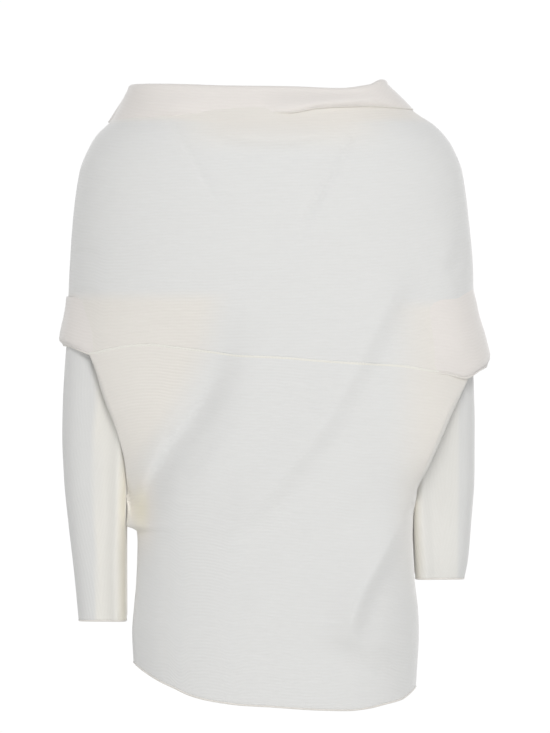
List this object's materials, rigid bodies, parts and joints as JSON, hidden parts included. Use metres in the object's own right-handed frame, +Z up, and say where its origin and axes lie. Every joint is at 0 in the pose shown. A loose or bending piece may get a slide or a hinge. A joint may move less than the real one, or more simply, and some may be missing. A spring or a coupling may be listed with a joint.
{
  "type": "draped cowl-neck sweater",
  "caption": "Women's fine-knit sweater in worn form: rolled wide cowl neck, cape-like yoke over the upper arms, draped body with open armholes, close sleeves and a curved hem.",
  "frame": {"origin": "middle of the shoulder line, where the wearer's shoulders hold the sweater up", "axes": "+Z up, -Y towards the back of the sweater (the side the picture shows), +X towards the right of someone who looks at the back"},
  "size_m": [0.5179, 0.2574, 0.7496],
  "materials": {
    "knit": "matte fine rib knit, ivory"
  },
  "bodies": {
    "root": {"collar": "knit", "yoke_back": "knit", "yoke_front": "knit", "body_back": "knit", "body_front": "knit", "sleeve_left": "knit", "sleeve_right": "knit", "band_left": "knit", "band_right": "knit"}
  },
  "joints": []
}
